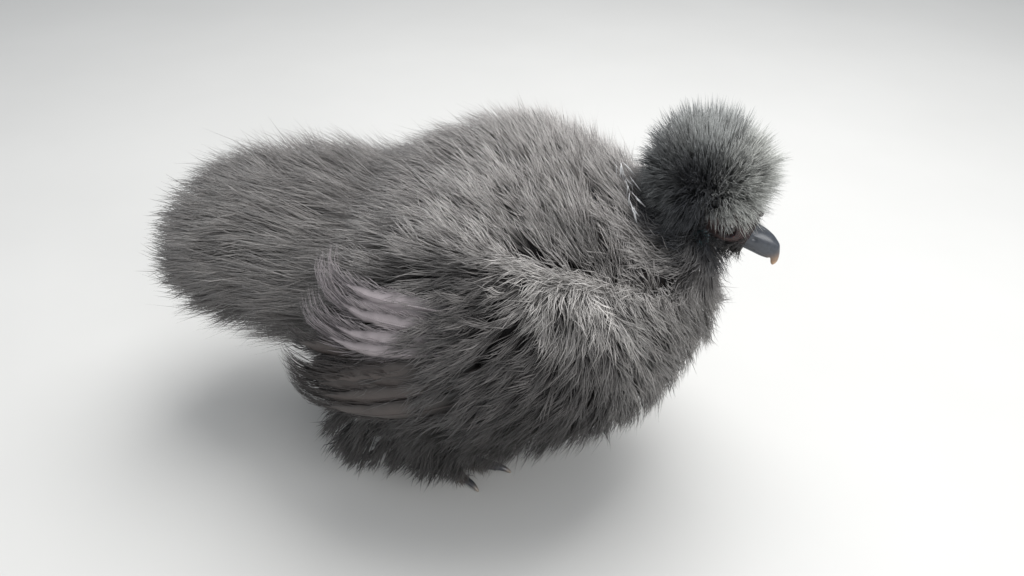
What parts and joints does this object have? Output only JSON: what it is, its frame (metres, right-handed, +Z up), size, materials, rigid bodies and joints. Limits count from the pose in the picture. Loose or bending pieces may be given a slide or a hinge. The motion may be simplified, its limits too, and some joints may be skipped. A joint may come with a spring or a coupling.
{
  "type": "silkie chicken",
  "caption": "Life-size silkie hen standing still, with a round crest, short walnut comb, folded wings, a soft cushion tail and plumed legs with five toes.",
  "frame": {"origin": "on the floor, under the middle of the bird's box", "axes": "+X from tail to beak, +Y to the bird's left, +Z up"},
  "size_m": [0.3656, 0.2152, 0.2322],
  "materials": {
    "plumage": "soft hair-like grey-black plumage",
    "dark_plumage": "soft hair-like near-black plumage",
    "skin": "bare dark mulberry skin",
    "horn": "satin slate horn",
    "lobe": "matt blue-grey skin",
    "eye": "wet dark brown eye"
  },
  "bodies": {
    "root": {"beak_lower": "horn", "beak_upper": "horn", "claw_back_left": "horn", "claw_back_right": "horn", "claw_fifth_left": "horn", "claw_fifth_right": "horn", "claw_inner_left": "horn", "claw_inner_right": "horn", "claw_middle_left": "horn", "claw_middle_right": "horn", "claw_outer_left": "horn", "claw_outer_right": "horn", "comb": "skin", "crest": "dark_plumage", "earlobe_left": "lobe", "earlobe_right": "lobe", "eye_left": "eye", "eye_right": "eye", "foot_left": "skin", "foot_right": "skin", "head": "skin", "neck": "dark_plumage", "tail": "plumage", "thigh_left": "plumage", "thigh_right": "plumage", "torso": "plumage", "wattle_left": "skin", "wattle_right": "skin", "wing_left": "plumage", "wing_right": "plumage"}
  },
  "joints": []
}
